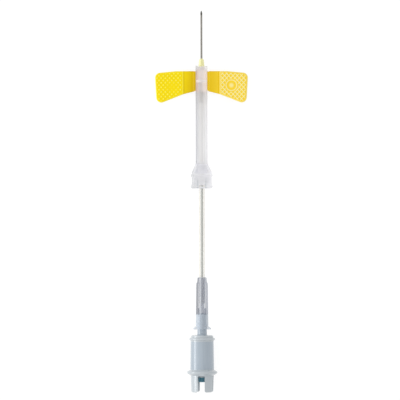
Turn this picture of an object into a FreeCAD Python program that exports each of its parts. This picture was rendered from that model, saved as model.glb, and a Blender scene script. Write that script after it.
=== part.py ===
"""Winged safety needle for taking blood: a steel cannula in a hub with two folding wings, a clear
needle guard that slides forward over the point, a short clear tube, a clear tapered connector and,
plugged into it, a grey adapter whose legs grip a sample tube.

Lengths are in millimetres. A station is a distance behind the needle's point, along the needle's
axis. The needle points along +Y, the wings lie along X, and +Z is up, off the table.
"""
import FreeCAD
import Part
import math
import os

from FreeCAD import Vector

# The needle, 20 gauge, and its hub
needle_radius = 0.45
needle_bore = 0.30
needle_exposed = 21.9
needle_seat = 12.0
bevel_length = 2.7
lancet_length = 1.2
lancet_turn = 38.0
hub_nose_front_radius = 1.0
hub_nose_bevel = 0.5
hub_radius = 1.35
hub_nose_length = 3.6
hub_passage = 0.32
stem_length = 5.0
stem_taper = 0.8
stem_end_wall = 0.15

# The wings, their sleeve and their fold
wing_root_chord = 9.0
wing_span = 21.0
wing_tip_edge_lean = 0.8
wing_bend_at = 11.5
wing_lead_drop = 0.9
wing_web_trail_slope = 14.3
wing_grip_trail_slope = 21.5
wing_corner = 2.3
web_thickness = 1.0
grip_thickness = 1.4
grip_start = 8.2
crease_width = 0.5
crease_depth = 0.2
fold_at = 4.0
fold_gap = 0.05
sleeve_lead = 0.5
sleeve_tail = 0.4

# The guard: a slotted barrel and the bell snapped on its rear
guard_radius = 2.7
guard_bore = 2.05
guard_nose_bare = 3.1
guard_to_wing = 2.5
guard_travel = 31.3
guard_front_dip = 0.5
stop_gap = 0.2
sliding_clearance = 0.1
rib_offset = 6.5
rib_width = 1.1
rib_height = 0.3
rib_bevel = 0.2
rib_root = 0.1
rib_half_length = 2.35
spigot_radius = 2.45
spigot_length = 4.2
tab_lead = 1.3
tab_root = 0.15
tab_clearance = 0.05
bell_length = 11.0
bell_collar = 2.95
bell_half_width = 4.45
bell_half_height = 3.4
bell_corner = 2.3
bell_collar_corner = 2.75
bell_rim = 0.45
bell_collar_length = 0.5
bell_shoulder = 3.6
bell_ring_start = 4.4
bell_ring_width = 1.5
bell_flange_width = 1.1
bell_flange_round = 0.5
bell_wall = 0.9
bell_hole = 1.9
pocket_start = 1.5
pocket_tail = 0.3
pocket_web = 0.6
pocket_inner = 1.6
pocket_outer = 3.5
pocket_corner = 0.25
tongue_behind_ring = 0.1
tongue_half_width = 1.5
tongue_slot = 0.6
tongue_length = 4.2
tongue_flare = 0.5
tongue_flare_length = 1.8

# The tube
tube_radius = 1.3
tube_bore = 0.75
free_tube = 40.0
tube_straight_past_bell = 5.0
tube_straight_before_connector = 9.0
bend_share = 0.45

# The clear connector with its 6 % taper
tube_socket = 11.6
connector_web = 2.2
connector_nose_radius = 2.0
connector_nose_bevel = 0.25
connector_nose_length = 2.0
connector_nose_growth = 0.15
connector_shoulder = 0.8
connector_front_radius = 2.57
connector_mouth_radius = 2.8
taper_depth = 9.5
taper_mouth_radius = 2.15
taper_per_mm = 0.03
lug_reach = 3.9
lug_half_width = 1.65
lug_slope = 1.2
lug_land = 0.5
lug_root = 0.1

# The grey adapter
taper_engaged = 7.2
taper_clearance = 0.05
taper_tip_bevel = 0.25
neck_bare = 2.7
neck_flare = 0.4
adapter_passage = 0.75
cap_radius = 4.9
cap_edge_bevel = 0.2
cap_growth = 0.1
cap_height = 1.1
upper_rim_radius = 5.75
upper_rim_height = 1.1
rim_bevel = 0.3
band_height = 0.5
housing_front_radius = 5.15
housing_rear_radius = 5.35
housing_bore = 4.35
housing_length = 12.8
lower_rim_radius = 6.8
lower_rim_height = 2.5
lower_rim_land = 0.5
lower_rim_bevel = 0.2
skirt_inset = 0.15
spigot_depth = 3.5
boss_radius = 1.25
boss_length = 3.5
floor_thickness = 1.0
floor_boss_radius = 2.5
floor_boss_height = 0.9
floor_hole_clearance = 0.15
skirt_bore = 4.3
skirt_end_radius = 5.0
skirt_end_bevel = 0.3
skirt_lead_in = 0.2
skirt_lead_in_length = 1.0
leg_length = 7.3
leg_corner = 0.8
leg_count = 4
slot_angle = 36.6
slot_corner = 0.3
slot_turn = -5.8
slot_crown = 0.2
end_margin = 0.01

# The covered rear needle and its rubber sleeve
rear_needle_radius = 0.4
rear_needle_bore = 0.25
rear_needle_seat = 3.0
rear_needle_bevel = 1.6
sleeve_rubber_radius = 1.75
sleeve_end_bevel = 0.35
sleeve_bore = 0.6
sleeve_show = 2.1
sleeve_end_wall = 1.8
point_clearance = 0.5

# Stations, each from the one before
hub_front = needle_exposed
guard_front = hub_front + guard_nose_bare
wing_front = guard_front + guard_to_wing
wing_rear = wing_front + wing_root_chord
tube_front = wing_rear + sleeve_tail
tab_front = wing_rear + guard_travel + stop_gap
bell_front = tab_front + tab_lead
barrel_rear = bell_front + spigot_length
bell_rear = bell_front + bell_length
connector_front = bell_rear + free_tube
tube_rear = connector_front + tube_socket
cavity_front = tube_rear + connector_web
mouth = cavity_front + taper_depth
male_tip = mouth - taper_engaged
cap_front = mouth + neck_bare
upper_rim_front = cap_front + cap_height
upper_rim_rear = upper_rim_front + upper_rim_height
housing_front = upper_rim_rear + band_height
lower_rim_front = housing_front + housing_length
lower_rim_rear = lower_rim_front + lower_rim_height
legs_end = lower_rim_rear + leg_length + slot_crown
floor_front = lower_rim_rear - floor_thickness
floor_boss_rear = lower_rim_rear + floor_boss_height
rubber_rear = floor_boss_rear + sleeve_show

# Heights of the two groups above the table
front_height = bell_half_height + bell_rim
rear_height = lower_rim_radius
origin_station = bell_rear / 2

AXIS = Vector(0, 1, 0)
MIDDLE = Vector(0, 0, 0)

# Sizes of cutters: FAR reaches past the part's width, PAST is how far one runs out of what it cuts
FAR = 60.0
PAST = 1.0


def plan(x, station):
    """A point of the horizontal plane through the needle's axis."""
    return Vector(x, -station, 0)


def outline(corners, place, bevels=False):
    """A closed wire of straight edges from corners (u, v), or (u, v, size) for a corner that is
    rounded to that radius, or beveled by that much where bevels is true."""
    points = [Vector(c[0], c[1], 0) for c in corners]
    ends = []
    for i, corner in enumerate(corners):
        here = points[i]
        before = points[i - 1] - here
        after = points[(i + 1) % len(points)] - here
        half = before.getAngle(after) / 2
        before.normalize()
        after.normalize()
        size = corner[2] if len(corner) > 2 else 0
        if size == 0 or bevels:
            ends.append((here + before * size, here + after * size))
            continue
        run = size / math.tan(half)
        middle_way = (before + after).normalize()
        crown = here + middle_way * (size / math.sin(half) - size)
        ends.append((here + before * run, crown, here + after * run))
    edges = []
    for i, here in enumerate(ends):
        after = ends[(i + 1) % len(ends)]
        if len(here) == 3:
            edges.append(Part.Arc(*[place(point) for point in here]).toShape())
        elif here[0].distanceToPoint(here[1]) > 0:
            edges.append(Part.LineSegment(place(here[0]), place(here[1])).toShape())
        edges.append(Part.LineSegment(place(here[-1]), place(after[0])).toShape())
    return Part.Wire(edges)


def turned(profile):
    """A solid turned about the needle's axis from (radius, station) corners, or (radius, station,
    bevel) for a beveled one."""
    wire = outline(profile, lambda p: plan(p.x, p.y), True)
    return Part.Face(wire).revolve(MIDDLE, AXIS, 360)


def rod(radius, front, rear):
    return Part.makeCylinder(radius, rear - front, plan(0, rear), AXIS)


def block(half_x, half_z, front, rear, x_middle=0.0, z_middle=0.0):
    corner = Vector(x_middle - half_x, -rear, z_middle - half_z)
    return Part.makeBox(2 * half_x, rear - front, 2 * half_z, corner)


def slab(corners, half_height):
    """A flat plate from a plan outline of (x, station) corners."""
    wire = outline(corners, lambda p: Vector(p.x, -p.y, -half_height))
    return Part.Face(wire).extrude(Vector(0, 0, 2 * half_height))


def rounded_section(half_x, half_z, corner, station):
    """A rounded rectangle across the needle's axis."""
    corners = [
        (half_x, -half_z, corner),
        (half_x, half_z, corner),
        (-half_x, half_z, corner),
        (-half_x, -half_z, corner),
    ]
    return outline(corners, lambda p: Vector(p.x, -station, p.y))


def beveled(solid, length, radius, turn=0.0):
    """The solid cut by a slanting plane that leaves its point on the lower side."""
    lean = math.degrees(math.atan2(2 * radius, length))
    cutter = Part.makeBox(FAR, FAR, FAR, Vector(-FAR / 2, -FAR / 2, 0))
    cutter.rotate(MIDDLE, Vector(1, 0, 0), -lean)
    cutter.translate(Vector(0, 0, -radius))
    cutter.rotate(MIDDLE, AXIS, turn)
    return solid.cut(cutter)


def make_needle_cannula():
    """A drawn steel tube with a long bevel and two lancet grinds beside its point."""
    tube = rod(needle_radius, 0, hub_front + needle_seat)
    tube = tube.cut(rod(needle_bore, -PAST, hub_front + needle_seat + PAST))
    tube = beveled(tube, bevel_length, needle_radius)
    for side in (-1, 1):
        tube = beveled(tube, bevel_length - lancet_length / 2, needle_radius, side * lancet_turn)
    return tube


def make_needle_hub():
    """The translucent hub: a tapered nose, a round body and the stem that the tube is pushed over."""
    seat_end = hub_front + needle_seat
    stem_rear = tube_front + stem_length
    return turned([
        (needle_radius, hub_front),
        (hub_nose_front_radius, hub_front, hub_nose_bevel),
        (hub_radius, hub_front + hub_nose_length),
        (hub_radius, tube_front),
        (tube_bore, tube_front),
        (tube_bore, stem_rear - stem_taper),
        (hub_passage + stem_end_wall, stem_rear),
        (hub_passage, stem_rear),
        (hub_passage, seat_end),
        (needle_radius, seat_end),
    ])


def trail(x):
    """The station of the wing's trailing edge at a distance x from the axis. It bends at the grip."""
    on_web = min(x, grip_start) - guard_radius
    on_grip = max(x - grip_start, 0)
    return (wing_rear + on_web * math.tan(math.radians(wing_web_trail_slope))
            + on_grip * math.tan(math.radians(wing_grip_trail_slope)))


def wing_outline(start):
    """The wing's plan from a given x outwards."""
    tip_rear = wing_span - wing_tip_edge_lean
    return [
        (start, wing_front),
        (wing_bend_at, wing_front),
        (wing_span, wing_front + wing_lead_drop, wing_corner),
        (tip_rear, trail(tip_rear), wing_corner),
        (grip_start, trail(grip_start)),
        (start, trail(start)),
    ]


def make_right_wing():
    """One wing: a round fold edge, a thin smooth web, a crease and a thicker grip."""
    fold_edge = Part.makeCylinder(
        web_thickness / 2, trail(fold_at) - wing_front, plan(fold_at, trail(fold_at)), AXIS)
    web = slab(wing_outline(fold_at), web_thickness / 2)
    grip = slab(wing_outline(fold_at), grip_thickness / 2)
    grip = grip.common(block(wing_span, FAR, wing_front - PAST, FAR, grip_start + wing_span))
    wing = web.fuse(grip).fuse(fold_edge)
    for side in (-1, 1):
        groove = block(crease_width / 2, crease_depth, wing_front - PAST, FAR,
                       grip_start - crease_width / 2, side * web_thickness / 2)
        wing = wing.cut(groove)
    return wing.removeSplitter()


def make_left_wing():
    return make_right_wing().mirror(MIDDLE, Vector(1, 0, 0))


def make_wing_sleeve():
    """The sleeve on the hub that carries both wings through the guard's slots."""
    front = wing_front - sleeve_lead
    sleeve = rod(guard_bore - sliding_clearance, front, tube_front)
    arms = block(fold_at - web_thickness / 2 - fold_gap, web_thickness / 2, wing_front, wing_rear)
    bore = rod(hub_radius, front - PAST, tube_front + PAST)
    return sleeve.fuse(arms).cut(bore).removeSplitter()


def make_guard_barrel():
    """The clear barrel, slotted on both sides so that it can slide past the wings."""
    barrel = turned([
        (guard_bore, guard_front),
        (guard_radius, guard_front),
        (guard_radius, bell_front),
        (spigot_radius, bell_front),
        (spigot_radius, barrel_rear),
        (guard_bore, barrel_rear),
    ])
    dip_radius = (guard_radius ** 2 + guard_front_dip ** 2) / (2 * guard_front_dip)
    dip = Part.makeCylinder(dip_radius, FAR,
                            Vector(0, -(guard_front + guard_front_dip - dip_radius), -FAR / 2))
    slot_front = wing_front - stop_gap
    slots = block(FAR, web_thickness / 2 + sliding_clearance, slot_front, barrel_rear + PAST)
    rib_front = guard_front + rib_offset
    rib_rear = rib_front + rib_width
    rib = turned([
        (guard_radius - rib_root, rib_front),
        (guard_radius, rib_front),
        (guard_radius + rib_height, rib_front + rib_bevel),
        (guard_radius + rib_height, rib_rear - rib_bevel),
        (guard_radius, rib_rear),
        (guard_radius - rib_root, rib_rear),
    ])
    rib = rib.common(block(rib_half_length, FAR, rib_front - PAST, rib_rear + PAST))
    return barrel.fuse(rib).cut(dip).cut(slots).removeSplitter()


def bell_body():
    """The bell's outer form: a round collar that widens to a flat housing with a ring and a rim."""
    wide = bell_half_width
    high = bell_half_height
    ring_front = bell_front + bell_ring_start
    ring_middle = ring_front + bell_ring_width / 2
    ring_land = bell_ring_width / 8
    flange_front = bell_rear - bell_flange_width
    collar_rear = bell_front + bell_collar_length
    sections = [
        rounded_section(bell_collar, bell_collar, bell_collar_corner, bell_front),
        rounded_section(bell_collar, bell_collar, bell_collar_corner, collar_rear),
    ]
    steps = [
        (0, bell_front + bell_shoulder),
        (0, ring_front),
        (bell_rim, ring_middle - ring_land),
        (bell_rim, ring_middle + ring_land),
        (0, ring_front + bell_ring_width),
        (0, flange_front - bell_flange_width),
        (bell_rim, flange_front),
        (bell_rim, bell_rear - bell_flange_round),
        (bell_rim - bell_flange_round, bell_rear),
    ]
    for proud, station in steps:
        sections.append(rounded_section(wide + proud, high + proud, bell_corner, station))
    return Part.makeLoft(sections, True, True)


def bell_pockets():
    """Three-cornered pockets in the shoulder, beside a middle strip, down to the round collar."""
    rear = bell_front + bell_shoulder + pocket_tail
    pocket = slab([
        (pocket_inner, bell_front + pocket_start),
        (pocket_outer, rear, pocket_corner),
        (pocket_inner, rear),
    ], FAR / 4)
    pocket = pocket.cut(rod(bell_collar, bell_front, bell_rear))
    pocket = pocket.cut(block(FAR, pocket_web, bell_front, bell_rear))
    return [pocket, pocket.mirror(MIDDLE, Vector(1, 0, 0))]


def tongue_gap():
    """The gap round the latch tongue of the upper flat side, which is fixed at its front end."""
    front = bell_front + bell_ring_start + bell_ring_width + tongue_behind_ring
    rear = front + tongue_length
    flare_start = rear - tongue_flare_length
    inner = tongue_half_width
    outer = inner + tongue_slot
    tongue = [
        (inner, front - PAST),
        (inner, flare_start),
        (inner + tongue_flare, rear - tongue_slot),
        (-inner - tongue_flare, rear - tongue_slot),
        (-inner, flare_start),
        (-inner, front - PAST),
    ]
    around = [
        (outer, front),
        (outer, flare_start),
        (outer + tongue_flare, rear),
        (-outer - tongue_flare, rear),
        (-outer, flare_start),
        (-outer, front),
    ]
    lower_half = block(FAR, FAR / 2, bell_front, bell_rear + PAST, z_middle=-FAR / 2)
    return slab(around, FAR / 4).cut(slab(tongue, FAR / 4)).cut(lower_half)


def make_guard_bell():
    """The bell on the barrel's rear, open behind, with a latch tongue in its upper side."""
    wall_front = barrel_rear
    wall_rear = barrel_rear + bell_wall
    bell = bell_body()
    bell = bell.cut(rod(spigot_radius, bell_front - PAST, wall_front))
    bell = bell.cut(rod(bell_hole, wall_front - PAST, wall_rear + PAST))
    hollow = Part.makeLoft([
        rounded_section(bell_half_width - bell_wall, bell_half_height - bell_wall,
                        bell_corner - bell_wall, station)
        for station in (wall_rear, bell_rear + PAST)
    ], True, True)
    bell = bell.cut(hollow)
    for cut_away in bell_pockets():
        bell = bell.cut(cut_away)
    bell = bell.cut(tongue_gap())
    for side in (-1, 1):
        inside = guard_bore + tab_clearance
        outside = spigot_radius + tab_root
        tab = block((outside - inside) / 2, web_thickness / 2 + sliding_clearance - tab_clearance,
                    tab_front, barrel_rear, side * (inside + outside) / 2)
        bell = bell.fuse(tab)
    return bell.removeSplitter()


def tube_route():
    """The tube's own points as (station, height): straight through the guard, then a gentle rise."""
    return [
        (tube_front, front_height),
        (bell_rear + tube_straight_past_bell, front_height),
        (connector_front - tube_straight_before_connector, rear_height),
        (tube_rear, rear_height),
    ]


def make_tube():
    """The clear tube: straight runs joined by arcs as large as the runs allow."""
    points = [Vector(0, -station, height) for station, height in tube_route()]
    edges = []
    radii = []
    start = points[0]
    for before, here, after in zip(points, points[1:], points[2:]):
        way_in = here - before
        way_out = after - here
        turn = way_in.getAngle(way_out)
        run = bend_share * min(way_in.Length, way_out.Length)
        radius = run / math.tan(turn / 2)
        way_in.normalize()
        way_out.normalize()
        arc_start = here - way_in * run
        arc_end = here + way_out * run
        towards = (way_out - way_in).normalize()
        crown = here + towards * (radius / math.cos(turn / 2) - radius)
        edges.append(Part.LineSegment(start, arc_start).toShape())
        edges.append(Part.Arc(arc_start, crown, arc_end).toShape())
        radii.append(round(radius, 1))
        start = arc_end
    edges.append(Part.LineSegment(start, points[-1]).toShape())
    path = Part.Wire(edges)
    solids = []
    for radius in (tube_radius, tube_bore):
        ring = Part.Wire(Part.makeCircle(radius, points[0], Vector(0, -1, 0)))
        solids.append(path.makePipeShell([ring], True, False))
    tube = solids[0].cut(solids[1])
    expected = path.Length * math.pi * (tube_radius ** 2 - tube_bore ** 2)
    print("tube: bend radii", radii, "mm, length", round(path.Length, 1), "mm, volume",
          round(tube.Volume, 2), "of", round(expected, 2))
    return tube


def taper_radius(station):
    """The connector's inner radius on its 6 % taper."""
    return taper_mouth_radius - taper_per_mm * (mouth - station)


def make_tube_connector():
    """The clear connector: tube socket, passage, tapered cavity and two lugs at the mouth."""
    nose_rear = connector_front + connector_nose_length
    body = turned([
        (tube_radius, connector_front),
        (connector_nose_radius, connector_front, connector_nose_bevel),
        (connector_nose_radius + connector_nose_growth, nose_rear),
        (connector_front_radius, nose_rear + connector_shoulder),
        (connector_mouth_radius, mouth),
        (taper_radius(mouth), mouth),
        (taper_radius(cavity_front), cavity_front),
        (tube_bore, cavity_front),
        (tube_bore, tube_rear),
        (tube_radius, tube_rear),
    ])
    lug_front = mouth - lug_land - lug_slope
    lug_inside = connector_front_radius - lug_root
    lugs = turned([
        (lug_inside, lug_front),
        (lug_reach, mouth - lug_land),
        (lug_reach, mouth),
        (lug_inside, mouth),
    ])
    lugs = lugs.common(block(FAR, lug_half_width, lug_front - PAST, mouth + PAST))
    return body.fuse(lugs).removeSplitter()


def make_adapter_hub():
    """The adapter's top: the tapered nose, the rimmed cap, and inside the spigot and needle boss."""
    male_radius = taper_radius(male_tip) - taper_clearance
    neck_radius = male_radius + taper_per_mm * (cap_front - male_tip)
    boss_front = housing_front + spigot_depth
    boss_rear = boss_front + boss_length
    seat_front = boss_rear - rear_needle_seat
    return turned([
        (adapter_passage, male_tip),
        (male_radius, male_tip, taper_tip_bevel),
        (neck_radius, cap_front, neck_flare),
        (cap_radius, cap_front, cap_edge_bevel),
        (cap_radius + cap_growth, upper_rim_front),
        (upper_rim_radius, upper_rim_front, rim_bevel),
        (upper_rim_radius, upper_rim_rear, rim_bevel),
        (housing_front_radius, upper_rim_rear),
        (housing_front_radius, housing_front),
        (housing_bore, housing_front),
        (housing_bore, boss_front),
        (boss_radius, boss_front),
        (boss_radius, boss_rear),
        (rear_needle_radius, boss_rear),
        (rear_needle_radius, seat_front),
        (adapter_passage, seat_front),
    ])


def make_adapter_housing():
    """The adapter's skirted housing: barrel wall, rim, inner floor and four gripping legs."""
    hole = sleeve_rubber_radius + floor_hole_clearance
    rim_middle = lower_rim_front + lower_rim_height / 2
    shell = turned([
        (housing_bore, housing_front),
        (housing_front_radius, housing_front),
        (housing_rear_radius, lower_rim_front),
        (lower_rim_radius, rim_middle - lower_rim_land, lower_rim_bevel),
        (lower_rim_radius, rim_middle + lower_rim_land / 2, lower_rim_bevel),
        (housing_rear_radius - skirt_inset, lower_rim_rear),
        (skirt_end_radius, legs_end, skirt_end_bevel),
        (skirt_bore + skirt_lead_in, legs_end),
        (skirt_bore, legs_end - skirt_lead_in_length),
        (skirt_bore, lower_rim_rear),
        (floor_boss_radius, lower_rim_rear),
        (floor_boss_radius, floor_boss_rear),
        (hole, floor_boss_rear),
        (hole, floor_front),
        (housing_bore, floor_front),
    ])
    slot_top = lower_rim_rear + slot_crown
    half_slot = skirt_end_radius * math.sin(math.radians(slot_angle / 2))
    half_opening = half_slot + 2 * leg_corner
    past_end = legs_end + end_margin
    slot = slab([
        (half_slot, slot_top, slot_corner),
        (half_slot, past_end, leg_corner),
        (half_opening, past_end),
        (half_opening, past_end + PAST),
        (-half_opening, past_end + PAST),
        (-half_opening, past_end),
        (-half_slot, past_end, leg_corner),
        (-half_slot, slot_top, slot_corner),
    ], FAR / 4)
    slot.translate(Vector(0, 0, FAR / 4 + floor_boss_radius))
    for i in range(leg_count):
        turned_slot = slot.copy()
        turned_slot.rotate(MIDDLE, AXIS, slot_turn + 360 / leg_count * i)
        shell = shell.cut(turned_slot)
    return shell.removeSplitter()


def make_rear_cannula():
    """The rear needle, hidden in its rubber sleeve, with its bevel towards the sample tube."""
    front = housing_front + spigot_depth + boss_length - rear_needle_seat
    rear = rubber_rear - sleeve_end_wall - point_clearance
    cannula = rod(rear_needle_radius, 0, rear - front)
    cannula = cannula.cut(rod(rear_needle_bore, -PAST, rear - front + PAST))
    cannula = beveled(cannula, rear_needle_bevel, rear_needle_radius)
    cannula.rotate(MIDDLE, Vector(0, 0, 1), 180)
    cannula.translate(plan(0, rear))
    return cannula


def make_valve_sleeve():
    """The closed rubber sleeve that seals the rear needle between samples."""
    front = housing_front + spigot_depth
    boss_rear = front + boss_length
    bore_rear = rubber_rear - sleeve_end_wall
    return turned([
        (boss_radius, front),
        (sleeve_rubber_radius, front),
        (sleeve_rubber_radius, rubber_rear, sleeve_end_bevel),
        (0, rubber_rear),
        (0, bore_rear),
        (sleeve_bore, bore_rear),
        (sleeve_bore, boss_rear),
        (boss_radius, boss_rear),
    ])


FRONT_PIECES = {
    "needle_cannula": make_needle_cannula,
    "needle_hub": make_needle_hub,
    "wing_sleeve": make_wing_sleeve,
    "left_wing": make_left_wing,
    "right_wing": make_right_wing,
    "guard_barrel": make_guard_barrel,
    "guard_bell": make_guard_bell,
}
REAR_PIECES = {
    "tube_connector": make_tube_connector,
    "adapter_hub": make_adapter_hub,
    "adapter_housing": make_adapter_housing,
    "rear_cannula": make_rear_cannula,
    "valve_sleeve": make_valve_sleeve,
}


def save(name, shape):
    """Writes one piece, and says so if it isn't one sound solid."""
    solids = shape.Solids
    if len(solids) != 1 or not solids[0].isValid():
        print("check", name, len(solids), "solids, valid", shape.isValid())
    solids[0].exportStep("parts/" + name + ".step")


def main():
    os.makedirs("parts", exist_ok=True)
    for pieces, height in ((FRONT_PIECES, front_height), (REAR_PIECES, rear_height)):
        for name, make in pieces.items():
            shape = make()
            shape.translate(Vector(0, origin_station, height))
            save(name, shape)
    tube = make_tube()
    tube.translate(Vector(0, origin_station, 0))
    save("tube", tube)
    point_behind_rim = guard_travel - guard_front
    print("with the guard forward the point lies", round(point_behind_rim, 2), "mm inside its rim")


main()
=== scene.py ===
"""Looks of the winged safety needle: the grained wings, the milky and the clear plastics, the
tube, the steel, a pale floor and soft studio light.

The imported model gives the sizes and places. Lengths are in millimetres until a mesh is made,
which is in metres. The needle points along +Y, the wings lie along X, and +Z is up. "Back" is a
distance behind the wings' leading edge, towards the adapter.
"""

import math

import bpy
import numpy as np
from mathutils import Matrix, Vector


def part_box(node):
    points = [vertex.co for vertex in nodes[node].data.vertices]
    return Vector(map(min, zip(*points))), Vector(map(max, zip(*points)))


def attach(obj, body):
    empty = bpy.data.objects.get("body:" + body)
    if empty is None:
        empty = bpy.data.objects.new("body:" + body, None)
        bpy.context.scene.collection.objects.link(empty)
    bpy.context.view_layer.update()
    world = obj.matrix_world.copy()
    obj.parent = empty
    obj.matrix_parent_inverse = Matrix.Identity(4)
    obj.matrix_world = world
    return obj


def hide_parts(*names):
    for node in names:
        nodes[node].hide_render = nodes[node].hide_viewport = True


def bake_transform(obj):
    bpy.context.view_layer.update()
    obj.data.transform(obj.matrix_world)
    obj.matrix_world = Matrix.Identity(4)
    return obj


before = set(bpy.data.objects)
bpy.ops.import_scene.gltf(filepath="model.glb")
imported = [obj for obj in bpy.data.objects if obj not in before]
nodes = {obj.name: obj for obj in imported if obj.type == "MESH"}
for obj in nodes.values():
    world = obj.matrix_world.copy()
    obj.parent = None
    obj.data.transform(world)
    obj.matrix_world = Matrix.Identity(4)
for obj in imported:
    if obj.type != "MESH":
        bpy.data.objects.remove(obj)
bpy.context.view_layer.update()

MM = 0.001


def corners(node):
    """A node's lowest and highest corner, in millimetres."""
    low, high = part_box(node)
    return np.array(low) / MM, np.array(high) / MM


bell_low, bell_high = corners("guard_bell")
tube_low, tube_high = corners("tube")
housing_low, housing_high = corners("adapter_housing")
front_height = (bell_low[2] + bell_high[2]) / 2
rear_height = (housing_low[2] + housing_high[2]) / 2

# Places along Y
needle_tip = corners("needle_cannula")[1][1]
guard_front = corners("guard_barrel")[1][1]
wing_front = corners("right_wing")[1][1]
hub_rear = corners("needle_hub")[0][1]
connector_front = corners("tube_connector")[1][1]
taper_tip = corners("adapter_hub")[1][1]


# Shapes

def ease(start, end, value):
    """A smooth step from 0 at start to 1 at end: t squared times (3 - 2t)."""
    t = np.clip((value - start) / (end - start), 0, 1)
    return t * t * (3 - 2 * t)


def hump(middle, width, value):
    """A bell curve of height 1: e to the minus square of the distance over the width."""
    return np.exp(-((value - middle) / width) ** 2)


def crowd(count, size):
    """Distances from an edge that crowd towards it: size times (1 - cosine) of even angles."""
    return size * (1 - np.cos(np.linspace(0, math.pi / 2, count)))


def make_piece(name, points, faces, materials, face_materials=None):
    """A smooth mesh object at the origin from points in millimetres."""
    mesh = bpy.data.meshes.new(name)
    mesh.from_pydata((np.asarray(points) * MM).tolist(), [], faces)
    mesh.polygons.foreach_set("use_smooth", np.ones(len(mesh.polygons), bool))
    for material in materials:
        mesh.materials.append(material)
    if face_materials is not None:
        mesh.polygons.foreach_set("material_index", np.asarray(face_materials, np.int32))
    mesh.update()
    piece = bpy.data.objects.new(name, mesh)
    bpy.context.scene.collection.objects.link(piece)
    return piece


def grid_faces(index):
    """The quads between neighbouring entries of a table of point numbers."""
    quads = np.stack([index[:-1, :-1], index[1:, :-1], index[1:, 1:], index[:-1, 1:]], -1)
    return quads.reshape(-1, 4)


# Materials

def srgb(text):
    """An sRGB hex colour as linear red, green, blue and 1."""
    values = np.array([int(text[i:i + 2], 16) for i in (1, 3, 5)]) / 255
    linear = np.where(values <= 0.04045, values / 12.92, ((values + 0.055) / 1.055) ** 2.4)
    return (*linear.tolist(), 1.0)


def add(tree, kind, inputs=(), output=None, **settings):
    """Adds a node with its settings and links, and gives its output of that name, or else the
    first one in use. Inputs are a dict by name, or a tuple in the order of the sockets in use,
    and each is a number, a vector, a colour or the output that feeds it."""
    node = tree.nodes.new("ShaderNode" + kind)
    for name, value in settings.items():
        setattr(node, name, value)
    sockets = [socket for socket in node.inputs if socket.enabled]
    if isinstance(inputs, dict):
        named = {socket.name: socket for socket in sockets}
        inputs, sockets = inputs.values(), [named[name] for name in inputs]
    for socket, value in zip(sockets, inputs):
        if isinstance(value, bpy.types.NodeSocket):
            tree.links.new(value, socket)
        else:
            socket.default_value = value
    return next((s for s in node.outputs if s.enabled and output in (None, s.name)), None)


def empty_tree(owner):
    """The emptied node tree of a new material or world."""
    owner.use_nodes = True
    owner.node_tree.nodes.clear()
    return owner.node_tree


def start_material(name):
    """A new material with its node tree and the point's place on the object in millimetres."""
    material = bpy.data.materials.new(name)
    tree = empty_tree(material)
    on_object = add(tree, "TexCoord", output="Object")
    place = add(tree, "Mapping", {"Vector": on_object, "Scale": (1 / MM,) * 3})
    return material, tree, place


def finish_material(tree, inputs, passed=0.0):
    """Ends a material with its shader. Passed is the share of the surface that passes light on
    from behind, as milky plastic does."""
    shader = add(tree, "BsdfPrincipled", inputs)
    if passed:
        shared = {"Color": inputs["Base Color"], "Normal": inputs["Normal"]}
        shader = add(tree, "MixShader", (passed, shader, add(tree, "BsdfTranslucent", shared)))
    add(tree, "OutputMaterial", {"Surface": shader})


def grain(tree, place, size, stretch=1.0, detail=2.0):
    """Noise of a grain size in millimetres, drawn out along the needle's axis by stretch. The
    fine grain of a mould's skin has its real size. Flow lines and streaks are up to twice as
    coarse as real ones, so that they show."""
    drawn = add(tree, "Mapping", {"Vector": place, "Scale": (1 / size, 1 / size / stretch, 1 / size)})
    return add(tree, "TexNoise", {"Vector": drawn, "Scale": 1.0, "Detail": detail})


# Where a see-through wall begins to look denser as it turns away, and where it looks densest,
# as the Facing value of Layer Weight, and how much of its opacity it keeps in its shadow
TURNING = 0.15
TURNED = 0.6
SHADOW_SHARE = 0.15


def seen_opacity(tree, opacity, edge_opacity):
    """The opacity of one face of a see-through wall, which rises where the wall is seen edge on.
    Its shadow is lighter, because such plastic scatters most of the light onwards."""
    facing = add(tree, "LayerWeight", {"Blend": 0.5}, "Facing")
    shown = add(tree, "MapRange", (facing, TURNING, TURNED, opacity, edge_opacity))
    shadow = add(tree, "LightPath", output="Is Shadow Ray")
    kept = add(tree, "MapRange", (shadow, 0.0, 1.0, 1.0, SHADOW_SHARE))
    return add(tree, "Math", (shown, kept), operation="MULTIPLY")


# The length of the needle's bevel along Y
BEVEL_LENGTH = 2.7


def stainless_steel():
    """Drawn stainless steel tube: a soft grey shine with fine lines along it, and a ground bevel
    painted darker towards its tip, as painted shade for the light that its flat reflects less of."""
    material, tree, place = start_material("drawn_stainless_steel")
    along_axis = add(tree, "SeparateXYZ", (place,), "Y")
    bevel_front = needle_tip + 0.1
    on_bevel = add(tree, "MapRange", (along_axis, bevel_front - BEVEL_LENGTH, bevel_front))
    lines = grain(tree, place, 0.06, stretch=40)
    steel = add(tree, "Mix", (lines, srgb("#7c7973"), srgb("#96938d")), data_type="RGBA")
    finish_material(tree, {
        # The bevel's dark colour is painted shade.
        "Base Color": add(tree, "Mix", (on_bevel, steel, srgb("#3c413b")), data_type="RGBA"),
        "Metallic": 1.0,
        "Roughness": add(tree, "MapRange", (lines, 0.0, 1.0, 0.22, 0.34)),
        "Normal": add(tree, "Bump", {"Height": lines, "Distance": 0.004 * MM}),
    })
    return material


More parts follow.
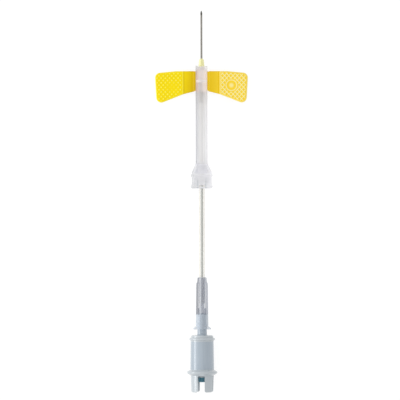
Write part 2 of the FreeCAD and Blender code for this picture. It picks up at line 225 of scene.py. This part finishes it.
def moulded_polyethylene(name, deep, bright, proud_highlight):
    """Injection-moulded yellow polyethylene: satin and a little waxy. The shade attribute paints
    shade, deeper on the web and in the guard's shade, and the relief attribute paints highlight, paler
    on what stands proud."""
    material, tree, place = start_material(name)
    # Painted shade comes from the shade attribute, and painted highlight from the relief attribute
    shade = add(tree, "Attribute", output="Fac", attribute_name="shade")
    relief = add(tree, "Attribute", output="Fac", attribute_name="relief")
    clouds = add(tree, "MapRange", (grain(tree, place, 3.0), 0.4, 0.75, 0.0, 0.14))
    skin = grain(tree, place, 0.12)
    body = add(tree, "Mix", (shade, srgb(bright), srgb(deep)), data_type="RGBA")
    clouded = add(tree, "Mix", (clouds, body, srgb(deep)), data_type="RGBA")
    finish_material(tree, {
        "Base Color": add(tree, "Mix", (relief, clouded, srgb(proud_highlight)), data_type="RGBA"),
        "Roughness": add(tree, "MapRange", (skin, 0.0, 1.0, 0.4, 0.52)),
        "Specular IOR Level": 0.15,
        "Normal": add(tree, "Bump", {"Height": skin, "Distance": 0.008 * MM}),
    })
    return material


# The grip rib across the guard: its middle along Y, half its width with and without its soft
# edges, and where it begins above and below the guard's axis
RIB_MIDDLE = guard_front - 7.05
RIB_HALF_WIDTH = 0.5
RIB_EDGE = 0.6
RIB_FOOT = 1.3
RIB_FOOT_END = 1.4

# The hub as it shows through the wings' sleeve: its middle along X, and half the width of its
# even middle and of all of it
CORE_ACROSS = -0.5
CORE_MIDDLE = 0.35
CORE_HALF_WIDTH = 1.3


def sleeve_polyethylene():
    """The wings' own plastic as it shows through the guard: a warm beige, painted in for the light
    that the milky wall above it scatters over it. It is greyer over the hub, more so behind the rib,
    and painted deeper on the left as painted shade."""
    material, tree, place = start_material("shaded_yellow_polyethylene")
    across, along_axis, _ = add(tree, "SeparateXYZ", (place,)).node.outputs
    from_core = add(tree, "Math", (across, CORE_ACROSS), operation="SUBTRACT")
    off_core = add(tree, "Math", (from_core,), operation="ABSOLUTE")
    core = add(tree, "MapRange", (off_core, CORE_HALF_WIDTH, CORE_MIDDLE))
    behind_rib = add(tree, "MapRange", (along_axis, RIB_MIDDLE, RIB_MIDDLE - 1))
    painted_left_shade = add(tree, "MapRange", (across, -0.4, -1.8))
    cloud = grain(tree, place, 1.6)
    wall = add(tree, "Mix", (cloud, srgb("#ffeada"), srgb("#fff3e8")), data_type="RGBA")
    # Painted shade on the left
    wall = add(tree, "Mix", (painted_left_shade, wall, srgb("#efc4a6")), data_type="RGBA")
    over_hub = add(tree, "Mix", (behind_rib, srgb("#dac8bd"), srgb("#bdb0aa")), data_type="RGBA")
    finish_material(tree, {
        "Base Color": add(tree, "Mix", (core, wall, over_hub), data_type="RGBA"),
        "Roughness": 0.45,
        "Normal": add(tree, "Bump", {"Height": grain(tree, place, 0.12), "Distance": 0.006 * MM}),
    })
    return material


def clear_vinyl():
    """Soft clear vinyl of the tube: faintly cream at its edges, with a wet shine."""
    material, tree, place = start_material("clear_vinyl")
    flow = grain(tree, place, 0.6, stretch=20)
    skin = grain(tree, place, 0.2)
    finish_material(tree, {
        "Base Color": add(tree, "Mix", (flow, srgb("#f3ecdc"), srgb("#fbf8f0")), data_type="RGBA"),
        "Alpha": seen_opacity(tree, 0.28, 0.62),
        "Roughness": add(tree, "MapRange", (skin, 0.0, 1.0, 0.15, 0.22)),
        "Normal": add(tree, "Bump", {"Height": skin, "Distance": 0.003 * MM}),
    })
    return material


def tube_bore():
    """The wall of the tube's bore. Its grey is painted shade for the light that bends round it, so
    that it looks grey through the vinyl. It fades within the bell, and is painted pale inside the
    guard and the connector, where that painted shade is left out. It can't be seen where the hub's
    stem fills it."""
    material, tree, place = start_material("vinyl_bore")
    along_axis = add(tree, "SeparateXYZ", (place,), "Y")
    in_guard = add(tree, "MapRange", (along_axis, bell_low[1] - 1, bell_low[1] + 8))
    in_connector = add(tree, "MapRange", (along_axis, connector_front + 0.5, connector_front))
    inside = add(tree, "Math", (in_guard, in_connector), operation="MAXIMUM")
    off_stem = add(tree, "MapRange", (along_axis, hub_rear, hub_rear - 0.3))
    washed_out = add(tree, "MapRange", (inside, 0.0, 1.0, 1.0, 0.35))
    shown = add(tree, "Math", (off_stem, washed_out), operation="MULTIPLY")
    flow = grain(tree, place, 0.5, stretch=20)
    # Grey painted shade for the light bent round the bore
    grey = add(tree, "Mix", (flow, srgb("#9ba2a3"), srgb("#aeb4b5")), data_type="RGBA")
    opaque = seen_opacity(tree, 1.0, 1.0)
    finish_material(tree, {
        "Base Color": add(tree, "Mix", (inside, grey, srgb("#e4e7e8")), data_type="RGBA"),
        "Alpha": add(tree, "Math", (opaque, shown), operation="MULTIPLY"),
        "Roughness": 0.25,
        "Normal": add(tree, "Bump", {"Height": flow, "Distance": 0.01 * MM}),
    })
    return material


# The painted highlight line along the connector: its middle along X, and half its width
CONNECTOR_GLINT_ACROSS = -0.9
CONNECTOR_GLINT_HALF_WIDTH = 0.2


def clear_polycarbonate():
    """Clear hard plastic of the connector. Its lavender grey and long dark streaks are painted shade,
    and its long bright streaks and one bright line are painted highlight, for the light that its wall
    bends. It is painted deeper on the left as painted shade. Where the adapter's taper fills it, the
    wall shows the taper's grey."""
    material, tree, place = start_material("clear_polycarbonate")
    across, along_axis, _ = add(tree, "SeparateXYZ", (place,)).node.outputs
    on_connector_glint = add(tree, "Math", (across, CONNECTOR_GLINT_ACROSS, CONNECTOR_GLINT_HALF_WIDTH),
                  operation="COMPARE")
    filled = add(tree, "MapRange", (along_axis, taper_tip - 0.2, taper_tip - 0.7))
    painted_left_shade = add(tree, "MapRange", (across, -0.8, -1.8))
    streaks = add(tree, "MapRange", (grain(tree, place, 0.5, stretch=80, detail=0), 0.36, 0.64))
    body = add(tree, "Mix", (streaks, srgb("#959baa"), srgb("#b1b7c3")), data_type="RGBA")
    # Painted shade on the left
    body = add(tree, "Mix", (painted_left_shade, body, srgb("#6f7583")), data_type="RGBA")
    # Painted highlight line
    clear = add(tree, "Mix", (on_connector_glint, body, srgb("#e2e5ec")), data_type="RGBA")
    thicker = add(tree, "MapRange", (filled, 0.0, 1.0, 1.0, 1.2))
    opacity = seen_opacity(tree, 0.36, 0.62)
    finish_material(tree, {
        "Base Color": add(tree, "Mix", (filled, clear, srgb("#cdd6e0")), data_type="RGBA"),
        "Alpha": add(tree, "Math", (opacity, thicker), operation="MULTIPLY"),
        "Roughness": 0.2,
        "Specular IOR Level": 0.3,
        "Normal": add(tree, "Bump", {"Height": streaks, "Distance": 0.01 * MM}),
    })
    return material


# A painted highlight line along the guard: its middle along X, half its width, and where it begins to
# show and is full along Y
GUARD_GLINT_ACROSS = 0.75
GUARD_GLINT_HALF_WIDTH = 0.15
GUARD_GLINT_FRONT = guard_front - 18
GUARD_GLINT_FULL = GUARD_GLINT_FRONT - 8

# The gap on each side of the bell's latch tongue, which is painted with shade: its middle off the
# needle's axis, half its width, and where it begins to show and is full along Y
GAP_ACROSS = 1.85
GAP_HALF_WIDTH = 0.3
GAP_FRONT = bell_low[1] + 5
GAP_FULL = GAP_FRONT - 2


def on_rib(tree, along_axis, upward):
    """1 on the grip rib and 0 off it."""
    from_rib = add(tree, "Math", (along_axis, RIB_MIDDLE), operation="SUBTRACT")
    off_rib = add(tree, "Math", (from_rib,), operation="ABSOLUTE")
    from_axis = add(tree, "Math", (upward, front_height), operation="SUBTRACT")
    off_axis = add(tree, "Math", (from_axis,), operation="ABSOLUTE")
    within = add(tree, "MapRange", (off_rib, RIB_EDGE, RIB_HALF_WIDTH))
    above_foot = add(tree, "MapRange", (off_axis, RIB_FOOT, RIB_FOOT_END))
    return add(tree, "Math", (within, above_foot), operation="MULTIPLY")


def on_painted_glint(tree, across, along_axis):
    """1 on the painted highlight line, which fades in behind the wings, and 0 off it."""
    within = add(tree, "Math", (across, GUARD_GLINT_ACROSS, GUARD_GLINT_HALF_WIDTH), operation="COMPARE")
    fading_in = add(tree, "MapRange", (along_axis, GUARD_GLINT_FRONT, GUARD_GLINT_FULL))
    before_bell = add(tree, "MapRange", (along_axis, bell_high[1] - 1, bell_high[1]))
    along_line = add(tree, "Math", (fading_in, before_bell), operation="MULTIPLY")
    return add(tree, "Math", (within, along_line), operation="MULTIPLY")


def in_tongue_gap(tree, across, along_axis):
    """1 in the gaps beside the bell's latch tongue and 0 elsewhere."""
    off_middle = add(tree, "Math", (across,), operation="ABSOLUTE")
    within = add(tree, "Math", (off_middle, GAP_ACROSS, GAP_HALF_WIDTH), operation="COMPARE")
    behind_root = add(tree, "MapRange", (along_axis, GAP_FRONT, GAP_FULL))
    return add(tree, "Math", (within, behind_root), operation="MULTIPLY")


def milky_polypropylene(name, colours, reach, opacity, passed):
    """Thin milky polypropylene. It lets some of what lies behind through, least where its wall is seen
    edge on, and along the grip rib and a painted highlight line. It passes light on from behind, so
    that it looks even. It is painted a little greyer over its left shade reach, towards its left, and
    in the gaps beside the latch tongue: painted shade."""
    material, tree, place = start_material(name)
    across, along_axis, upward = add(tree, "SeparateXYZ", (place,)).node.outputs
    ribbed = on_rib(tree, along_axis, upward)
    glinting = on_painted_glint(tree, across, along_axis)
    rib_and_painted_glint = add(tree, "Math", (ribbed, glinting), operation="MAXIMUM")
    painted_left_shade = add(tree, "MapRange", (across, *reach))
    shaded = in_tongue_gap(tree, across, along_axis)
    pale, white, left = (srgb(colour) for colour in colours)
    cloud = grain(tree, place, 1.2, stretch=10)
    skin = grain(tree, place, 0.15)
    wall = add(tree, "Mix", (cloud, pale, white), data_type="RGBA")
    # Painted shade towards the left
    wall = add(tree, "Mix", (painted_left_shade, wall, left), data_type="RGBA")
    # Painted shade in the gaps beside the latch tongue
    wall = add(tree, "Mix", (shaded, wall, srgb("#e3e6e9")), data_type="RGBA")
    denser = add(tree, "MapRange", (rib_and_painted_glint, 0.0, 1.0, 1.0, 2.4))
    finish_material(tree, {
        # Whiter on the rib and on the painted highlight line
        "Base Color": add(tree, "Mix", (rib_and_painted_glint, wall, srgb("#fafafc")), data_type="RGBA"),
        "Alpha": add(tree, "Math", (seen_opacity(tree, opacity, 0.34), denser), operation="MULTIPLY"),
        "Roughness": add(tree, "MapRange", (skin, 0.0, 1.0, 0.25, 0.35)),
        "Normal": add(tree, "Bump", {"Height": skin, "Distance": 0.004 * MM}),
    }, passed)
    return material


def hub_polypropylene():
    """Translucent pale yellow polypropylene of the hub. Behind its nose it is painted a pale pinkish
    grey, painted light for the milky guard's scatter over it, and it is dark grey at its stem, inside
    the tube."""
    material, tree, place = start_material("pale_yellow_polypropylene")
    along_axis = add(tree, "SeparateXYZ", (place,), "Y")
    behind_nose = add(tree, "MapRange", (along_axis, guard_front - 0.2, guard_front - 0.9))
    to_stem = add(tree, "MapRange", (along_axis, tube_high[1] + 1.5, tube_high[1]))
    flow = grain(tree, place, 0.5, stretch=8)
    skin = grain(tree, place, 0.2)
    nose = add(tree, "Mix", (flow, srgb("#fff9a0"), srgb("#ffffd2")), data_type="RGBA")
    body = add(tree, "Mix", (behind_nose, nose, srgb("#e6dadd")), data_type="RGBA")
    finish_material(tree, {
        "Base Color": add(tree, "Mix", (to_stem, body, srgb("#645f6a")), data_type="RGBA"),
        "Alpha": seen_opacity(tree, 0.72, 0.9),
        "Roughness": 0.3,
        "Normal": add(tree, "Bump", {"Height": skin, "Distance": 0.004 * MM}),
    })
    return material


# The solid pale bands of the adapter, along Y: its cap with the upper rim, and the lower rim,
# behind which all is pale
CAP_FRONT = housing_high[1] + 2.7
LOWER_RIM_FRONT = housing_low[1] + 10.0


def grey_polypropylene():
    """Glossy moulded grey polypropylene, slightly cloudy, with faint flow lines along the barrel.
    Its closed hollow parts are painted darker than the solid rims and the open legs: painted shade
    from their dark insides."""
    material, tree, place = start_material("grey_polypropylene")
    along_axis = add(tree, "SeparateXYZ", (place,), "Y")
    before_cap = add(tree, "MapRange", (along_axis, CAP_FRONT, CAP_FRONT + 0.1))
    behind_cap = add(tree, "MapRange", (along_axis, housing_high[1], housing_high[1] - 0.2))
    before_rim = add(tree, "MapRange", (along_axis, LOWER_RIM_FRONT, LOWER_RIM_FRONT + 0.3))
    on_barrel = add(tree, "Math", (behind_cap, before_rim), operation="MULTIPLY")
    hollow_painted_shade = add(tree, "Math", (before_cap, on_barrel), operation="MAXIMUM")
    cloud = grain(tree, place, 4.0, stretch=2)
    flow = add(tree, "MapRange", (grain(tree, place, 0.9, stretch=14), 0.3, 0.8, 0.0, 0.3))
    skin = grain(tree, place, 0.2)
    solid = add(tree, "Mix", (cloud, srgb("#b2babf"), srgb("#bcc3c8")), data_type="RGBA")
    wall = add(tree, "Mix", (cloud, srgb("#9aa7b3"), srgb("#a5b1bc")), data_type="RGBA")
    wall = add(tree, "Mix", (flow, wall, srgb("#b7bfc7")), data_type="RGBA")
    finish_material(tree, {
        "Base Color": add(tree, "Mix", (hollow_painted_shade, solid, wall), data_type="RGBA"),
        "Coat Weight": 0.8,
        "Coat Roughness": 0.2,
        "Roughness": add(tree, "MapRange", (skin, 0.0, 1.0, 0.26, 0.36)),
        "Normal": add(tree, "Bump", {"Height": skin, "Distance": 0.006 * MM}),
    })
    return material


def moulded_rubber():
    """Dark teal moulded rubber: matt, with the fine dusty grain of its mould."""
    material, tree, place = start_material("teal_rubber")
    skin = grain(tree, place, 0.18, detail=4)
    finish_material(tree, {
        "Base Color": add(tree, "Mix", (skin, srgb("#356b7c"), srgb("#639db0")), data_type="RGBA"),
        "Roughness": add(tree, "MapRange", (skin, 0.0, 1.0, 0.5, 0.7)),
        "Normal": add(tree, "Bump", {"Height": skin, "Distance": 0.02 * MM}),
    })
    return material


# The wings

# Corners of the wing's plan as (x, back): along the leading edge, and along the trailing edge
WING_ROOT = 2.2
LEADING = [(WING_ROOT, 0.0), (11.5, 0.0), (21.0, 0.9)]
TRAILING = [(WING_ROOT, 8.87), (8.0, 10.35), (20.2, 15.15)]
WING_CORNER = 2.3
CORNER_POINTS = 12

# The round rim, the spacing of the points, and where their columns stop being parallel and begin
# to follow the two round corners
RIM = 0.35
RIM_ROWS = 6
COLUMN_STEP = 0.13
ROW_STEP = 0.11
FAN_START = 16.4
FAN_COLUMNS = 36

# Half the wing's thickness from its root to its tip: the arm, which covers the sleeve's own, the
# web with a dip at the fold and one at the crease, and the thicker grip
ARM_END = (3.2, 3.6)
ARM_COVER = 0.03
WEB_HALF = 0.5
FOLD_AT = 4.0
FOLD_DIP = 0.06
FOLD_DIP_WIDTH = 0.45
CREASE_AT = 7.75
CREASE_WIDTH = 0.18
GRIP_START = 8.3
GRIP_STEP = 0.14
GRIP_STEP_LENGTH = 0.25

# The moulded pattern: a centred lattice with this pitch along x and along the wing's depth, its
# height, the plain margin over which it rises, and the one beside the step
LATTICE_X = 1.9
LATTICE_BACK = 2.08
PATTERN_HEIGHT = 0.14
PATTERN_MARGIN = (0.5, 0.95)
PATTERN_START = (GRIP_START + 0.2, GRIP_START + 0.7)

# The smooth patch of the left grip, and the ring and dome of the right one
PATCH_AT = (13.4, 7.2)
PATCH_RADII = (2.9, 2.3)
ROUND_AT = (13.5, 6.4)
ROUND_RADIUS = 2.4


def rounded_corner(before, corner, after, radius, count):
    """A round corner between two straight edges: its points, its centre and both edges' outward
    normals. The centre lies on the corner's bisector, radius over the sine of half its angle
    away, and the points turn evenly from one normal to the other."""
    before, corner, after = (np.array(p, float) for p in (before, corner, after))
    back_way = (before - corner) / np.linalg.norm(before - corner)
    on_way = (after - corner) / np.linalg.norm(after - corner)
    half = math.acos(back_way @ on_way) / 2
    bisector = (back_way + on_way) / np.linalg.norm(back_way + on_way)
    centre = corner + bisector * radius / math.sin(half)
    normals = [corner + way * radius / math.tan(half) - centre for way in (back_way, on_way)]
    start, end = (math.atan2(n[1], n[0]) for n in normals)
    angles = np.linspace(start, end, count)
    points = centre + radius * np.stack([np.cos(angles), np.sin(angles)], -1)
    return points, centre, [n / radius for n in normals]


def along(points, shares):
    """The points at given shares of the length of a line through points."""
    points = np.asarray(points, float)
    steps = np.hypot(*np.diff(points, axis=0).T)
    travelled = np.concatenate([[0], np.cumsum(steps)]) / steps.sum()
    return np.stack([np.interp(shares, travelled, points[:, k]) for k in (0, 1)], -1)


def edge_back(edge, x):
    """How far back an edge of the wing lies at each x."""
    return np.interp(x, [p[0] for p in edge], [p[1] for p in edge])


front_arc, front_centre, front_normals = rounded_corner(
    LEADING[1], LEADING[2], TRAILING[2], WING_CORNER, CORNER_POINTS)
rear_arc, rear_centre, rear_normals = rounded_corner(
    TRAILING[1], TRAILING[2], LEADING[2], WING_CORNER, CORNER_POINTS)


def wing_plan():
    """The wing's plan as a grid of (x, back). Each column runs straight from the leading edge to
    the trailing edge. Both ends move outwards together, and past FAN_START each goes round its
    own corner, so that the last column is the straight tip. Rows crowd towards both edges."""
    root = WING_ROOT + crowd(RIM_ROWS, RIM)
    straight = np.arange(root[-1] + COLUMN_STEP, FAN_START, COLUMN_STEP)
    x = np.concatenate([root, straight])
    shares = np.linspace(0, 1, FAN_COLUMNS)
    ends = []
    for edge, arc in ((LEADING, front_arc), (TRAILING, rear_arc)):
        fan = [(FAN_START, edge_back(edge, FAN_START)), *arc]
        ends.append(np.concatenate([np.stack([x, edge_back(edge, x)], -1), along(fan, shares)]))
    depth = TRAILING[-1][1]
    near = crowd(RIM_ROWS, RIM * 1.1 / depth)
    inner = np.linspace(near[-1], 1 - near[-1], round(depth / ROW_STEP))[1:-1]
    v = np.concatenate([near, inner, 1 - near[::-1]])[:, None]
    return ends[0][:, None] * (1 - v) + ends[1][:, None] * v


def inside_by(plan):
    """The distance of plan points from the wing's outline: to the nearest straight edge, and at a
    round corner the radius less the distance from its centre."""
    x, back = plan[..., 0], plan[..., 1]
    tip = np.array(TRAILING[-1]) - LEADING[-1]
    tip_distance = ((x - LEADING[-1][0]) * -tip[1] + (back - LEADING[-1][1]) * tip[0])
    slope = (TRAILING[2][1] - TRAILING[1][1]) / (TRAILING[2][0] - TRAILING[1][0])
    distances = [
        x - WING_ROOT,
        back - edge_back(LEADING, x),
        (edge_back(TRAILING, x) - back) * math.cos(math.atan(slope)),
        tip_distance / np.linalg.norm(tip),
    ]
    distance = np.minimum.reduce(distances)
    for centre, (first, last) in ((front_centre, front_normals), (rear_centre, rear_normals)):
        way = plan - centre
        turn = first[0] * last[1] - first[1] * last[0]
        past_first = (first[0] * way[..., 1] - first[1] * way[..., 0]) * turn > 0
        before_last = (way[..., 0] * last[1] - way[..., 1] * last[0]) * turn > 0
        around = WING_CORNER - np.hypot(way[..., 0], way[..., 1])
        distance = np.where(past_first & before_last, around, distance)
    return np.maximum(distance, 0)


def raised_dots(x, back):
    """Round dots on the lattice: high where the product of a cosine along x and a cosine along
    the depth is near 1. They fade out in a smooth patch about the middle of the grip."""
    wave = np.cos(2 * math.pi * x / LATTICE_X) * np.cos(2 * math.pi * back / LATTICE_BACK)
    off_patch = np.hypot((x - PATCH_AT[0]) / PATCH_RADII[0], (back - PATCH_AT[1]) / PATCH_RADII[1])
    patch = hump(0, 1, off_patch ** 2)
    return ease(0.25, 0.85, wave) * (1 - 0.75 * patch)


def crossing_ridges(x, back):
    """Two sets of diagonal ridges, with a pit at each point of the lattice: along each diagonal
    the ridge lies half a pitch from the lattice's rows. A ring and a shallow dome take the place
    of the ridges in the middle of the grip."""
    ridges = 0
    for sign in (-1, 1):
        turns = x / LATTICE_X + sign * back / LATTICE_BACK
        from_pit = np.abs(turns - np.round(turns))
        ridges = np.maximum(ridges, ease(0.3, 0.46, from_pit))
    radius = np.hypot(x - ROUND_AT[0], back - ROUND_AT[1])
    ridges = ridges * ease(ROUND_RADIUS + 0.35, ROUND_RADIUS + 0.8, radius)
    ring = hump(ROUND_RADIUS, 0.2, radius)
    dome = 0.75 * (1 - ease(0.4, 1.5, radius))
    return np.maximum(ridges, np.maximum(ring, dome))


def half_thickness(x, inside, relief, crease):
    """Half the wing's thickness: the arm's, web's or grip's with the pattern on it, times a
    quarter ellipse of the distance from the outline, so that it closes in a round rim."""
    half = WEB_HALF + ARM_COVER * (1 - ease(*ARM_END, x)) - FOLD_DIP * hump(FOLD_AT, FOLD_DIP_WIDTH, x)
    half = half - crease * hump(CREASE_AT, CREASE_WIDTH, x)
    half = half + GRIP_STEP * ease(GRIP_START - GRIP_STEP_LENGTH, GRIP_START, x)
    rim = np.sqrt(1 - (1 - np.minimum(inside / RIM, 1)) ** 2)
    return (half + PATTERN_HEIGHT * relief) * rim


def tints(x, back, inside, relief, crease):
    """How much painted shade deepens the yellow, from 0 to 1: most on the web, towards its root and
    its rear edge, and in the crease. And how much painted highlight makes it pale: on the pattern, on
    the step and along the grip's rim."""
    web = 1 - ease(GRIP_START - 0.3, GRIP_START, x)
    deep = web * (0.2 + 0.7 * (1 - ease(2.0, GRIP_START, x)) + 0.2 * back / 10)
    deep = deep + 5 * crease * hump(CREASE_AT, 0.2, x)
    rim = ease(GRIP_START, GRIP_START + 0.5, x) * (1 - ease(0.1, 0.6, inside))
    pale = relief + 0.6 * hump(GRIP_START + 0.1, 0.18, x) + 0.65 * rim
    return deep, pale


def wing_skin(name, side, pattern, crease, material):
    """One wing with its living hinge, from its plan and a pattern on its grip. Its surface lies
    as far above the middle plane as below it, and the two meet at the outline."""
    plan = wing_plan()
    x, back = plan[..., 0], plan[..., 1]
    inside = inside_by(plan)
    relief = pattern(x, back) * (ease(*PATTERN_MARGIN, inside) * ease(*PATTERN_START, x))
    height = half_thickness(x, inside, relief, crease)
    top = np.arange(x.size).reshape(x.shape)
    bottom = top + x.size
    for border in (np.s_[0, :], np.s_[-1, :], np.s_[:, 0], np.s_[:, -1]):
        bottom[border] = top[border]
    inner = bottom != top
    bottom[inner] = x.size + np.arange(inner.sum())
    y = wing_front - back
    points = np.stack([side * x, y, front_height + height], -1).reshape(-1, 3)
    under = np.stack([side * x, y, front_height - height], -1)[inner]
    up_way = (-1 if side > 0 else 1)
    faces = np.concatenate([grid_faces(top)[:, ::-up_way], grid_faces(bottom)[:, ::up_way]])
    piece = make_piece(name, np.concatenate([points, under]), faces.tolist(), [material])
    # The shade attribute holds painted shade, and the relief attribute holds painted highlight
    for label, tint in zip(("shade", "relief"), tints(x, back, inside, relief, crease)):
        both = np.concatenate([tint.ravel(), tint[inner]])
        attribute = piece.data.attributes.new(label, "FLOAT", "POINT")
        attribute.data.foreach_set("value", np.clip(both, 0, 1).astype(np.float32))
    body = "right_wing" if side > 0 else "left_wing"
    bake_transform(piece)
    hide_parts(body)
    return piece


# The tube

TUBE_RADIUS = 1.3
TUBE_BORE = 0.58
TUBE_SIDES = 32
ROUTE_RESOLUTION = 24
# How far the tube runs straight: inside the guard, past the bell, and before the connector
STRAIGHT_IN_GUARD = 21.0
STRAIGHT_PAST_BELL = 5.0
STRAIGHT_BEFORE_CONNECTOR = 9.0


def route_line(points):
    """The smooth line of a NURBS spline of order 3 that has points as its control points."""
    curve = bpy.data.curves.new("tube_route", "CURVE")
    curve.dimensions = "3D"
    spline = curve.splines.new("NURBS")
    spline.points.add(len(points) - 1)
    for point, place in zip(spline.points, points):
        point.co = (*place, 1)
    spline.order_u = 3
    spline.use_endpoint_u = True
    spline.resolution_u = ROUTE_RESOLUTION
    holder = bpy.data.objects.new("tube_route", curve)
    bpy.context.scene.collection.objects.link(holder)
    bpy.context.view_layer.update()
    evaluated = holder.evaluated_get(bpy.context.evaluated_depsgraph_get())
    line = bpy.data.meshes.new_from_object(evaluated)
    ring_centres = np.empty(len(line.vertices) * 3)
    line.vertices.foreach_get("co", ring_centres)
    bpy.data.objects.remove(holder)
    bpy.data.meshes.remove(line)
    return ring_centres.reshape(-1, 3)


def vinyl_tube(outside, bore):
    """The tube from the hub to the connector. Each ring of points is a circle across the route:
    one side along X and the other along X crossed with the route's direction. The outer wall,
    the bore and the two flat ends make one closed surface."""
    stations = [
        (tube_high[1], front_height),
        (bell_low[1] + STRAIGHT_IN_GUARD, front_height),
        (bell_low[1] - STRAIGHT_PAST_BELL, front_height),
        (connector_front + STRAIGHT_BEFORE_CONNECTOR, rear_height),
        (tube_low[1], rear_height),
    ]
    path = route_line([(0, y * MM, z * MM) for y, z in stations])
    centres = path / MM
    ways = np.gradient(centres, axis=0)
    ways /= np.linalg.norm(ways, axis=1, keepdims=True)
    across = np.array([1.0, 0.0, 0.0])
    upright = np.cross(across, ways)
    angles = np.linspace(0, 2 * math.pi, TUBE_SIDES, endpoint=False)[None, :, None]
    turn = np.cos(angles) * across + np.sin(angles) * upright[:, None]
    walls = [centres[:, None] + radius * turn for radius in (TUBE_RADIUS, TUBE_BORE)]
    count = len(centres) * TUBE_SIDES
    index = np.arange(count).reshape(-1, TUBE_SIDES)
    outer = np.hstack([index, index[:, :1]])
    inner = outer + count
    ends = [np.stack([inner[0], outer[0]]), np.stack([outer[-1], inner[-1]])]
    parts = [grid_faces(outer), grid_faces(inner)[:, ::-1], *(grid_faces(end) for end in ends)]
    faces = np.concatenate(parts)
    in_bore = np.repeat([0, 1, 0, 0], [len(part) for part in parts])
    points = np.concatenate([wall.reshape(-1, 3) for wall in walls])
    piece = make_piece("vinyl_tube", points, faces.tolist(), [outside, bore], in_bore)
    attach(piece, "needle_line")
    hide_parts("tube")
    return piece


# The studio, in metres

CAMERA_HEIGHT = 1.8
CAMERA_LENS = 360
# The photograph's middle lies left of the needle's axis, which leans by a seventh of a degree
CAMERA_X = -0.00081
CAMERA_Y = -0.04535
CAMERA_ROLL = -0.0026
FLOOR_HALF = 3.0
WORLD_LEVEL = 0.87
LAMP_PLACE = (-0.5, CAMERA_Y, 0.13)
LAMP_WIDTH = 0.18
LAMP_LENGTH = 0.6
LAMP_LEVEL = 0.135


def background_share(tree):
    """1 for the rays that show the white background, straight or in a shine, and 0 for the rest."""
    seen = add(tree, "LightPath", output="Is Camera Ray")
    rays = seen.node.outputs
    for kind in ("Is Glossy Ray", "Is Transmission Ray"):
        seen = add(tree, "Math", (seen, rays[kind]), operation="MAXIMUM")
    return seen


def pale_floor():
    """A flat white floor. It gives the object the light of pale paper, and the camera sees it as
    a white ground that keeps a faint shadow."""
    points = [(x * FLOOR_HALF / MM, y * FLOOR_HALF / MM, 0) for x, y in
              ((-1, -1), (1, -1), (1, 1), (-1, 1))]
    material = bpy.data.materials.new("white_paper")
    tree = empty_tree(material)
    paper = add(tree, "BsdfDiffuse", {"Color": (0.75, 0.75, 0.75, 1)})
    soft = add(tree, "BsdfDiffuse", {"Color": (0.2, 0.2, 0.2, 1)})
    glow = add(tree, "Emission", {"Color": (0.86, 0.86, 0.86, 1)})
    shown = add(tree, "AddShader", (soft, glow))
    surface = add(tree, "MixShader", (background_share(tree), paper, shown))
    add(tree, "OutputMaterial", {"Surface": surface})
    floor = make_piece("floor", points, [(0, 1, 2, 3)], [material])


def white_surroundings():
    """A white world, a little brighter where it is seen than where it only gives light."""
    world = bpy.data.worlds.new("studio")
    tree = empty_tree(world)
    strength = add(tree, "MapRange", (background_share(tree), 0.0, 1.0, WORLD_LEVEL, 1.0))
    surroundings = add(tree, "Background", {"Color": (1, 1, 1, 1), "Strength": strength})
    add(tree, "OutputWorld", {"Surface": surroundings})
    bpy.context.scene.world = world


def key_lamp():
    """A broad lamp low on the left that looks at the object's middle. Its level is its share of a
    flat surface's brightness there: power is level times pi squared times the distance squared,
    over the sine of the lamp's height above the floor."""
    way = np.array([0, CAMERA_Y, 0]) - LAMP_PLACE
    distance = np.linalg.norm(way)
    data = bpy.data.lights.new("key_lamp", "AREA")
    data.shape = "RECTANGLE"
    data.size = LAMP_WIDTH
    data.size_y = LAMP_LENGTH
    data.energy = LAMP_LEVEL * math.pi ** 2 * distance ** 2 / (-way[2] / distance)
    lamp = bpy.data.objects.new("key_lamp", data)
    lamp.location = LAMP_PLACE
    lamp.rotation_euler = (0, math.atan2(-way[0], -way[2]), 0)
    bpy.context.scene.collection.objects.link(lamp)


def camera_above():
    """The camera straight above, far away with a long lens, as the photograph has hardly any
    perspective."""
    data = bpy.data.cameras.new("camera")
    data.lens = CAMERA_LENS
    camera = bpy.data.objects.new("camera", data)
    camera.location = (CAMERA_X, CAMERA_Y, CAMERA_HEIGHT + front_height * MM)
    camera.rotation_euler = (0, 0, CAMERA_ROLL)
    bpy.context.scene.collection.objects.link(camera)
    bpy.context.scene.camera = camera
    bpy.context.scene.view_settings.view_transform = "Standard"


def dress(materials):
    """Gives CAD nodes their materials."""
    for material, names in materials:
        for name in names:
            node = nodes[name]
            if not node.material_slots:
                node.data.materials.append(material)
            for slot in node.material_slots:
                slot.material = material


dress([
    (stainless_steel(), ["needle_cannula", "rear_cannula"]),
    (grey_polypropylene(), ["adapter_hub", "adapter_housing"]),
    (hub_polypropylene(), ["needle_hub"]),
    (sleeve_polyethylene(), ["wing_sleeve"]),
    # The third colour of each milky plastic is the painted shade on its left
    (milky_polypropylene("milky_barrel_polypropylene", ("#f8f8fc", "#ffffff", "#e0e1e5"),
                         (-0.6, -2.2), opacity=0.2, passed=0.4), ["guard_barrel"]),
    (milky_polypropylene("milky_bell_polypropylene", ("#f7f7fa", "#fcfcfe", "#e6e7e9"),
                         (-1.6, -4.2), opacity=0.34, passed=0.45), ["guard_bell"]),
    (clear_polycarbonate(), ["tube_connector"]),
    (moulded_rubber(), ["valve_sleeve"]),
])
wing_skin("left_wing_skin", -1, raised_dots, 0.03,
          moulded_polyethylene("yellow_polyethylene", "#dab400", "#fae000", "#fff25c"))
# The right wing takes a paler copy of the same yellow plastic: painted highlight
wing_skin("right_wing_skin", 1, crossing_ridges, 0.15,
          moulded_polyethylene("yellow_polyethylene_painted_highlight", "#f4cc10", "#fdd836", "#fff5aa"))
vinyl_tube(clear_vinyl(), tube_bore())
pale_floor()
white_surroundings()
key_lamp()
camera_above()
